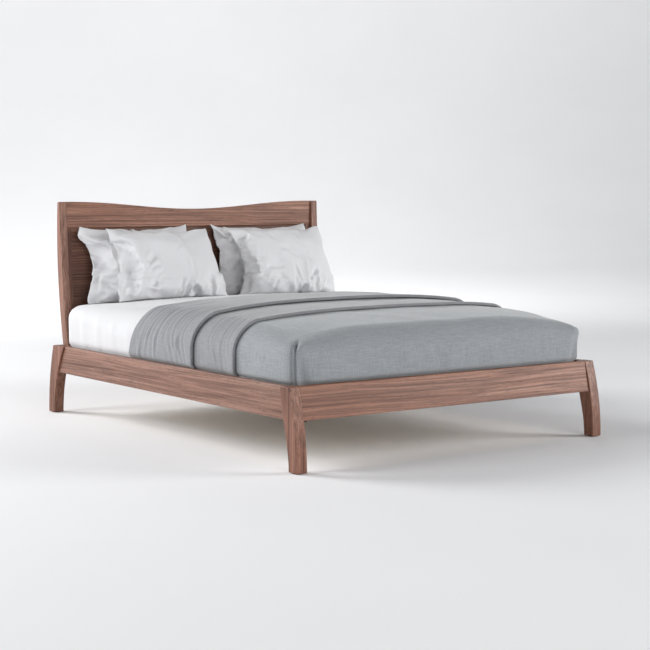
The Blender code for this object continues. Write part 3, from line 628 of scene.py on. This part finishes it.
def throw_path():
    """The throw's run in the side view, from the hem of the lower layer, round the fold at the head
    side, to the hem of the upper layer: (y, lift, layer) points, layer 0 below and 1 above."""
    # lifts of the lower layer: under its hem, on top of its hem, and between hem and fold
    low_under, low_top, low_flat = 0.0122, 0.0228, 0.0118
    # lifts of the upper layer: at the fold, between fold and hem, and under and on top of its hem
    fold_top, up_flat, up_under, up_top = 0.0185, 0.0215, 0.0205, 0.0318
    hem = 0.030                # how far a hem's turned edge runs back under it
    low_dip, up_dip = 0.004, 0.005      # and slopes down as it does
    low_fall, up_fall = 0.09, 0.10      # from here on a layer lies at its height between hem and fold
    spacing = 0.0048
    turn_points = 14
    path = []

    def straight(y0, y1, lift0, lift1, layer):
        count = max(2, round(abs(y1 - y0) / spacing))
        for i in range(count):
            t = i / count
            path.append((y0 + (y1 - y0) * t, lift0 + (lift1 - lift0) * t * t * (3 - 2 * t), layer))

    def turn(y, lift_from, lift_to, side, layer):
        """A half turn with a flattened front; side says whether it bulges to the head or the foot."""
        middle, radius = (lift_from + lift_to) / 2, abs(lift_to - lift_from) / 2
        sign = 1 if lift_to > lift_from else -1
        for i in range(turn_points):
            angle = -math.pi / 2 + math.pi * i / turn_points
            c, s = math.cos(angle), math.sin(angle)
            out = radius * max(c, 0) ** HEM_SQUARE
            up = radius * math.copysign(abs(s) ** HEM_SQUARE, s)
            path.append((y + side * out, middle + sign * up, layer))

    edge = THROW_FOOT_EDGE + (low_top - low_under) / 2
    straight(edge + hem, edge, low_under - low_dip, low_under, 0)
    turn(edge, low_under, low_top, -1, 0)
    straight(edge, edge + low_fall, low_top, low_flat, 0)
    fold_radius = (fold_top - low_flat) / 2
    straight(edge + low_fall, THROW_FOLD - fold_radius, low_flat, low_flat, 0)
    turn(THROW_FOLD - fold_radius, low_flat, fold_top, 1, 1)
    edge = THROW_TOP_EDGE + (up_top - up_under) / 2
    straight(THROW_FOLD - fold_radius, edge + up_fall, fold_top, up_flat, 1)
    straight(edge + up_fall, edge, up_flat, up_top, 1)
    turn(edge, up_top, up_under, -1, 1)
    straight(edge, edge + hem, up_under, up_under - up_dip, 1)
    return path


def gathers(across, y, z, seed, count, first, last):
    """Relief of fine folds that run in from the side of the bed and down it, deepest at the edge and
    fading towards the middle. across is the distance from the middle of the bed, and the folds start
    between the places first and last along it."""
    rng = random.Random(seed)
    total = np.zeros_like(y)
    drop = smooth_step(SHOULDER_TOP + 0.01, RAIL_TOP, z)
    for i in range(count):
        t = (i + rng.uniform(0.05, 0.95)) / count
        middle = first + (last - first) * t
        lean_in = rng.uniform(0.00, 0.13)
        lean_down = rng.uniform(0.00, 0.08)
        width = rng.uniform(0.0045, 0.0110)
        height = rng.uniform(0.0012, 0.0040)
        reach = rng.uniform(0.16, 0.46)
        bow = rng.uniform(-0.03, 0.03)
        rest_drop = rng.uniform(0.0, 1.0)
        inward = np.clip((BODY_HALF_WIDTH - across) / BODY_HALF_WIDTH, 0, 1)
        line = middle + lean_in * inward ** 1.3 - lean_down * drop ** 1.6 + bow * np.sin(4 * inward)
        fade = np.exp(-(inward / reach) ** 2) * (1 - rest_drop * 0.8 * smooth_step(0.3, 1.0, drop))
        profile = bell(y, line, width) - 0.5 * bell(y, line - 1.9 * width, width * 1.4)
        total = total + height * fade * profile
    return total


def make_throw():
    """Second grey cloth, folded double across the bed: one sheet from hem to hem, fuller at its rolled
    edges, gathered where it is tucked in at the sides."""
    path = throw_path()
    spacing = 0.012
    half, top, bottom = BODY_HALF_WIDTH, SHOULDER_TOP, COVER_BOTTOM + 0.006
    # its outline across the bed: up the left side, over the top and down the right side
    drop = np.linspace(bottom, top, round((top - bottom) / spacing) + 1)
    over = np.linspace(-half, half, round(2 * half / spacing) + 1)
    section = [(-half, z) for z in drop[:-1]]
    section += [(x, top) for x in over]
    section += [(half, z) for z in drop[-2::-1]]
    points = np.array([(x, y, z) for y, _, _ in path for x, z in section])
    lift = np.repeat([p[1] for p in path], len(section))
    layer = np.repeat([p[2] for p in path], len(section))
    flat = wrapped(points, lift)
    x, y, z = flat[:, 0], flat[:, 1], flat[:, 2]
    upper = layer * smooth_step(THROW_TOP_EDGE + 0.012, THROW_TOP_EDGE + 0.05, y)
    strip = (1 - layer) * (1 - smooth_step(THROW_TOP_EDGE - 0.03, THROW_TOP_EDGE + 0.02, y))
    strip *= smooth_step(THROW_FOOT_EDGE + 0.012, THROW_FOOT_EDGE + 0.05, y)
    relief = np.zeros(len(points))
    across = np.abs(x)
    for sign, seed in ((-1, 31), (1, 47)):
        here = (np.sign(x) == sign) | (across < 1e-6)
        first, last = THROW_TOP_EDGE + 0.05, THROW_FOLD + 0.01
        relief += here * upper * gathers(across, y, z, seed, UPPER_GATHERS, first, last)
        first, last = THROW_FOOT_EDGE + 0.06, THROW_TOP_EDGE
        relief += here * strip * 0.6 * gathers(across, y, z, seed + 3, STRIP_GATHERS, first, last)
    relief += 0.0016 * waves(x, y, 33, 6, 0.15, 0.40) * (upper + strip)
    edge_waves = 0.004 * waves(x + 0.5 * z, y * 0.2, 35, 5, 0.25, 0.8)
    down = 0.4 * smooth_step(0.45, BODY_HALF_WIDTH, across)
    down += 0.6 * smooth_step(SHOULDER_TOP - 0.02, RAIL_TOP, z)
    points[:, 1] += edge_waves + FOLD_SPREAD * down * smooth_step(THROW_TOP_EDGE, THROW_FOLD, y)
    low_edge = smooth_step(THROW_TOP_EDGE, THROW_FOOT_EDGE, y)
    points[:, 1] += HEM_SKEW * smooth_step(0.2, BODY_HALF_WIDTH, x) * low_edge
    placed = wrapped(points, lift + relief)
    obj = make_mesh("throw_cloth", placed, grid_faces(len(path), len(section), flip=True))
    obj.data.materials.append(THROW_LINEN)
    thicken(obj, CLOTH)
    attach(obj, "frame")
    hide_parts("throw")


# ---------------------------------------------------------------------------
# Pillows
# ---------------------------------------------------------------------------

PILLOW_PRESS = 0.012           # over this distance a pillow gives way to the bed and the headboard
PILLOW_SINK = 0.012            # how far a pillow's foot starts below the bed's top
PANEL_GAP = 0.004              # between a pillow and the headboard
CASE_WIDER = 0.075             # a flat case is this much wider than the swollen pillow's CAD solid
CASE_TALLER = 0.030            # and this much taller
SWELL_PRESSURE = 5.0
SWELL_FRAMES = 22
SWELL_CAP = 0.075              # how far a point may move in the simulation
CREASES = 60

# flange: width of the loose end; lean, twist, roll: degrees; shift: from the CAD solid's middle;
# taper, tip: see place_pillow; taller, wider: on top of the CAD solid's size
PILLOWS = {
    "pillow_back_left": dict(flange=0.120, seed=5, lean=9.0, twist=2.0, roll=0.5,
                             shift=(0.048, -0.020), taper=0.025, tip=0.040, taller=0.014),
    "pillow_back_right": dict(flange=0.140, seed=6, lean=9.0, twist=-1.0, roll=0.0,
                              shift=(0.022, -0.020), taper=0.040, taller=0.014),
    "pillow_front_left": dict(flange=0.120, seed=7, lean=16.0, twist=2.0, roll=-0.5,
                              shift=(0.010, -0.060), taper=0.055),
    "pillow_front_right": dict(flange=0.055, seed=8, lean=15.0, twist=-2.0, roll=0.5,
                               shift=(0.026, -0.052), taper=0.045, wider=-0.045),
}


def flange_seam(v, width, flange):
    """Where the filled part of a flat pillowcase starts at a height v, from -1 to 1."""
    return -width / 2 + flange * np.clip(1 - ((v + 0.15) / 1.15) ** 2, 0.12, 1)


def pillow_form(name, width, height, flange, seed):
    """A flat pillowcase lying in x and z, thickness along y, with a loose flange at its left end that
    is widest just below the middle. The two faces share their rim. The vertex group fill marks what
    the pressure swells."""
    spacing = 0.0125
    columns = round(width / spacing) + 1
    rows = round(height / spacing) + 1
    uu, vv = np.meshgrid(np.linspace(-1, 1, columns), np.linspace(-1, 1, rows))
    u, v = uu.ravel(), vv.ravel()
    x = u * width / 2 * (1 + 0.020 * (1 - v ** 2))
    z = (v * (1 + 0.030 * (1 - u ** 2)) + 1) * height / 2
    seam = flange_seam(v, width, flange)
    inside = np.clip((x - seam) / (width / 2 - seam), 0, 1)
    swell = np.clip(4 * inside * (1 - inside), 0, 1) ** 0.6 * np.clip(1 - v ** 2, 0, 1) ** 0.6
    rim = (np.abs(u) > 0.9999) | (np.abs(v) > 0.9999)
    wander = 0.003 * waves(x, z, seed, 6, 0.08, 0.3)
    half = np.where(rim, 0.0, 0.003 + 0.020 * swell)
    front = np.stack([x, -half + wander, z], 1)
    back = np.stack([x, half + wander, z], 1)
    count = len(front)
    faces = grid_faces(rows, columns) + grid_faces(rows, columns, count, flip=True)
    points, joined = merged(np.concatenate([front, back]), faces)
    obj = make_mesh(name, points, joined)
    group = obj.vertex_groups.new(name="fill")
    seam = flange_seam(points[:, 2] / height * 2 - 1, width, flange)
    weights = smooth_step(seam - 0.004, seam + 0.02, points[:, 0])
    for i, weight in enumerate(weights):
        group.add([i], float(weight), "REPLACE")
    return obj


def inflate(obj, pressure, frames, cap):
    """Swells a pillowcase by Cloth simulation, then keeps the result as its mesh."""
    rest = np.array([v.co for v in obj.data.vertices])
    cloth = obj.modifiers.new("swell", "CLOTH")
    settings = cloth.settings
    settings.quality = 6
    settings.mass = 0.25
    settings.tension_stiffness = 40
    settings.compression_stiffness = 40
    settings.shear_stiffness = 20
    settings.bending_stiffness = 0.4
    settings.air_damping = 2.0
    settings.use_pressure = True
    settings.uniform_pressure_force = pressure
    settings.vertex_group_pressure = "fill"
    settings.effector_weights.gravity = 0.0
    cloth.point_cache.frame_start = 1
    cloth.point_cache.frame_end = frames
    for step in range(1, frames + 1):
        SCENE.frame_set(step)
    graph = bpy.context.evaluated_depsgraph_get()
    final = np.array([v.co for v in obj.evaluated_get(graph).data.vertices])
    obj.modifiers.remove(cloth)
    SCENE.frame_set(1)
    move = final - rest
    far = np.linalg.norm(move, axis=1, keepdims=True)
    move *= np.minimum(1, cap / np.maximum(far, TINY))
    obj.data.vertices.foreach_set("co", (rest + move).ravel())
    obj.data.update()


def bed_top(x, y):
    """Height of the made bed under the pillows."""
    radius = body_radius(y)
    out = np.clip(np.abs(x) - (BODY_HALF_WIDTH - radius), 0, radius * 0.95)
    return SHOULDER_TOP + crown(x, y) - radius + np.sqrt(radius ** 2 - out ** 2) + SHEET_LIFT + 0.001


def headboard_front(z):
    """Where the front of the headboard's panel or top rail is at a height."""
    panel = np.array([v.co for v in NODES["headboard_panel"].data.vertices])
    heights = np.unique(np.round(panel[:, 2], 3))
    fronts = [panel[np.abs(panel[:, 2] - h) < 0.001, 1].min() for h in heights]
    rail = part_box("headboard_top_rail")[0]
    return np.minimum(np.interp(z, heights, fronts), np.where(z > rail.z - 0.03, rail.y, FAR))


def square_up(co, height):
    """Gives a swollen pillow its full height again from end to end, with corners a little higher than
    the middle of its top edge, and sets its foot at 0."""
    edges = np.linspace(co[:, 0].min(), co[:, 0].max(), 25)
    middles = (edges[1:] + edges[:-1]) / 2
    columns = [co[(co[:, 0] >= a) & (co[:, 0] <= b), 2] for a, b in zip(edges, edges[1:])]
    tops = np.interp(co[:, 0], middles, [c.max() for c in columns])
    feet = np.interp(co[:, 0], middles, [c.min() for c in columns])
    u = co[:, 0] / np.abs(co[:, 0]).max()
    wanted = height * (0.945 + 0.055 * np.abs(u) ** 3)
    return (co[:, 2] - feet) / np.maximum(tops - feet, 0.05) * wanted


def creases(u, v, seed, count, flange_share):
    """Relief of the creases on a pillow, u and v running from 0 to 1 across its face: many that run in
    from the lower corners and the flange, a few across the middle, each a sharp ridge beside a hollow."""
    rng = random.Random(seed)
    total = np.zeros_like(u)
    aspect = 1.7
    for _ in range(count):
        kind = rng.random()
        if kind < 0.45:
            start = (rng.uniform(0.02, 0.30), rng.uniform(0.02, 0.45))
            angle = rng.uniform(-20, 75)
        elif kind < 0.75:
            start = (rng.uniform(0.45, 0.95), rng.uniform(0.00, 0.12))
            angle = rng.uniform(40, 140)
        elif kind < 0.90:
            start = (flange_share * rng.uniform(0.2, 1.1), rng.uniform(0.2, 0.9))
            angle = rng.uniform(-50, 50)
        else:
            start = (rng.uniform(0.2, 0.8), rng.uniform(0.5, 0.9))
            angle = rng.uniform(-35, 35)
        length = rng.uniform(0.14, 0.42)
        width = rng.uniform(0.016, 0.042)
        height = rng.uniform(0.0035, 0.0110)
        bow = rng.uniform(-0.10, 0.10)
        c, s = math.cos(math.radians(angle)), math.sin(math.radians(angle))
        du, dv = (u - start[0]) * aspect, v - start[1]
        run = (du * c + dv * s) / length
        side = dv * c - du * s - bow * length * run * (1 - run)
        fade = smooth_step(0.0, 0.25, run) * (1 - smooth_step(0.55, 1.0, run))
        ridge = np.exp(-np.abs(side) / width * 1.7)
        total = total + height * fade * (ridge - 0.7 * bell(side, 1.6 * width, 1.2 * width))
    return total


def press_line(u, v, place, bow):
    """The raised line that ironing folded leaves down a pillowcase."""
    side = u - place - bow * (1 - (2 * v - 1) ** 2)
    fade = smooth_step(0.05, 0.2, v) * (1 - smooth_step(0.8, 0.98, v))
    return 0.0060 * fade * (np.exp(-np.abs(side) / 0.011) - 0.6 * bell(side, 0.026, 0.016))


def refine(obj):
    """Turns one level of subdivision into mesh, so that the creases have points to move."""
    fine = obj.modifiers.new("smooth", "SUBSURF")
    fine.levels = 1
    graph = bpy.context.evaluated_depsgraph_get()
    mesh = bpy.data.meshes.new_from_object(obj.evaluated_get(graph))
    obj.modifiers.clear()
    obj.vertex_groups.clear()
    obj.data = mesh


def place_pillow(obj, size, middle, lean, twist, roll, seed, taper, tip):
    """Sets a swollen pillow on the bed: creased, fuller and flat at its foot, leaning back, with its
    top a little bent. taper is how much narrower it is at the top, and tip how far the flange's upper
    corner hangs out."""
    width, height, flange = size
    co = np.array([point.co for point in obj.data.vertices])
    normals = np.array([point.normal for point in obj.data.vertices])
    co[:, 2] = square_up(co, height)
    u = (co[:, 0] - co[:, 0].min()) / (co[:, 0].max() - co[:, 0].min())
    v = co[:, 2] / height
    rng = random.Random(seed)
    # creases and a pressed line on the front, fading out at the foot and the right end
    relief = creases(u, v, seed, CREASES, flange / width)
    relief += 0.0030 * waves(u * width, v * height, seed + 20, 7, 0.10, 0.30)
    relief += press_line(u, v, rng.uniform(0.58, 0.66), rng.uniform(0.02, 0.05))
    relief *= smooth_step(0.0, 0.05, v) * smooth_step(0.0, 0.03, 1 - u)
    co += normals * (relief * (normals[:, 1] < 0.3))[:, None]
    # the loose flange ruffles and its top falls forward
    loose = 1 - smooth_step(0.0, flange / width * 1.2, u)
    ruffle = waves(v * height, u * 0.3, seed + 50, 5, 0.05, 0.14)
    co[:, 1] += 0.012 * loose * ruffle - 0.016 * loose * smooth_step(0.6, 1.0, v)
    co[:, 0] += 0.009 * loose * waves(v * height, u * 0.2, seed + 60, 4, 0.06, 0.2)
    co[:, 0] -= taper * u * v + tip * loose * bell(v, 0.84, 0.13)
    # thick at the foot, and bent back at the top
    co[:, 1] *= 1.12 - 0.26 * v
    co[:, 1] += 0.030 * v ** 2
    for angle, a, b in ((roll, 0, 2), (-lean, 1, 2), (twist, 0, 1)):
        c, s = math.cos(math.radians(angle)), math.sin(math.radians(angle))
        first, second = co[:, a].copy(), co[:, b].copy()
        co[:, a] = c * first - s * second
        co[:, b] = s * first + c * second
    co += np.array(middle)
    # pressed up by the bed and forward by the headboard
    over = co[:, 2] - bed_top(co[:, 0], co[:, 1]) - PILLOW_PRESS
    pressed = PILLOW_PRESS * (np.exp(np.minimum(over, 0) / PILLOW_PRESS) - 1)
    co[:, 2] += np.where(over < 0, pressed - over, 0)
    room = headboard_front(co[:, 2]) - PANEL_GAP - PILLOW_PRESS - co[:, 1]
    pressed = PILLOW_PRESS * (1 - np.exp(np.minimum(room, 0) / PILLOW_PRESS))
    co[:, 1] += np.where(room < 0, room + pressed, 0)
    obj.data.vertices.foreach_set("co", co.ravel())
    obj.data.update()


def make_pillow(node, flange, seed, lean, twist, roll, shift, taper, tip=0.0, taller=0.0, wider=0.0):
    """One pillow in its case, near the place of its CAD solid."""
    low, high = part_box(node)
    width = high.x - low.x + CASE_WIDER + wider
    height = high.z - low.z + CASE_TALLER + taller
    obj = pillow_form(node + "_case", width, height, flange, seed)
    inflate(obj, SWELL_PRESSURE, SWELL_FRAMES, SWELL_CAP)
    refine(obj)
    x, y = (low.x + high.x) / 2 + shift[0], (low.y + high.y) / 2 + shift[1]
    z = float(bed_top(np.array([x]), np.array([y]))[0]) - PILLOW_SINK
    place_pillow(obj, (width, height, flange), (x, y, z), lean, twist, roll, seed, taper, tip)
    obj.data.polygons.foreach_set("use_smooth", [True] * len(obj.data.polygons))
    obj.data.materials.append(PILLOW_COTTON)
    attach(obj, "frame")
    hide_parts(node)


# ---------------------------------------------------------------------------
# Studio: floor and backdrop in one bowl, lights and camera
# ---------------------------------------------------------------------------

CAMERA_PLACE = (-4.3496, -6.1697, 1.1295)
CAMERA_DOWN = 4.934            # degrees below level
CAMERA_TURN = 35.723           # degrees to the right of straight along the bed
CAMERA_LENS = 86.95


def make_studio():
    """A pale floor that curves up into a round wall all about, open above."""
    flat, reach, rise = 9.0, 9.0, 6.5
    profile = [(r, 0.0) for r in (0.5, 2, 4, 6, 7.5)]
    turns = np.linspace(0, math.pi / 2, 30)
    profile += [(flat + reach * math.sin(a), rise * (1 - math.cos(a))) for a in turns]
    sides = 96
    points = [(0.0, 0.0, 0.0)]
    for r, z in profile:
        points += [(r * math.cos(a), r * math.sin(a), z) for a in np.arange(sides) * 2 * math.pi / sides]
    faces = [(0, 1 + i, 1 + (i + 1) % sides) for i in range(sides)]
    for ring in range(len(profile) - 1):
        start = 1 + ring * sides
        for i in range(sides):
            j = (i + 1) % sides
            faces.append((start + i, start + sides + i, start + sides + j, start + j))
    studio = make_mesh("studio", points, faces)
    material, tree, shader, place = new_material("studio_paint", 0.9, Specular_IOR_Level=0.15)
    mottle = noise(tree, mapped(tree, place, (0.8, 0.8, 0.8)), detail=2.0)
    tree.links.new(ramp(tree, mottle, (0.3, (0.885, 0.885, 0.895)), (0.7, (0.905, 0.905, 0.915))),
                   shader.inputs["Base Color"])
    studio.data.materials.append(material)


def add_light(name, place, target, size, power):
    """A square soft white light aimed at a point."""
    data = bpy.data.lights.new(name, "AREA")
    data.shape = "SQUARE"
    data.size = size
    data.energy = power
    obj = bpy.data.objects.new(name, data)
    obj.location = place
    obj.rotation_euler = (Vector(target) - Vector(place)).to_track_quat("-Z", "Y").to_euler()
    SCENE.collection.objects.link(obj)
    obj.visible_camera = False


def light_scene():
    """Soft light from all about, strongest from behind on the left, and two lights on the backdrop."""
    world = bpy.data.worlds.new("surround")
    world.use_nodes = True
    background = world.node_tree.nodes["Background"]
    background.inputs["Color"].default_value = (0.76, 0.86, 1.0, 1.0)
    background.inputs["Strength"].default_value = 0.05
    SCENE.world = world
    middle = (0, 0, 0.4)
    add_light("left", (-8.0, 1.5, 4.2), middle, 3.5, 360)
    add_light("back_left", (-5.0, 7.0, 5.0), middle, 4.0, 750)
    add_light("front_right", (7.3, -6.0, 3.4), middle, 4.0, 550)
    add_light("front", (-2.0, -11.0, 3.5), middle, 5.0, 405)
    add_light("back_right", (6.0, 7.0, 4.5), middle, 4.0, 95)
    add_light("backdrop_right", (3.0, 6.0, 7.5), (8.0, 16.0, 3.5), 6.0, 600)
    add_light("backdrop_left", (-1.0, 8.0, 7.0), (4.0, 18.0, 3.5), 6.0, 270)
    SCENE.view_settings.view_transform = "Standard"
    SCENE.view_settings.look = "None"
    SCENE.view_settings.exposure = 0.0
    SCENE.view_settings.gamma = 1.0


def make_camera():
    """The photo's view, from the foot end and the left."""
    data = bpy.data.cameras.new("camera")
    data.sensor_width = 36.0
    data.lens = CAMERA_LENS
    data.clip_end = 100.0
    camera = bpy.data.objects.new("camera", data)
    camera.location = CAMERA_PLACE
    camera.rotation_euler = (math.radians(90 - CAMERA_DOWN), 0.0, -math.radians(CAMERA_TURN))
    SCENE.collection.objects.link(camera)
    SCENE.camera = camera


# ---------------------------------------------------------------------------
# Build
# ---------------------------------------------------------------------------

dress_nodes()
make_mattress()
make_fitted_sheet()
make_bedspread()
make_throw()
for pillow, shape in PILLOWS.items():
    make_pillow(pillow, **shape)
make_studio()
light_scene()
make_camera()
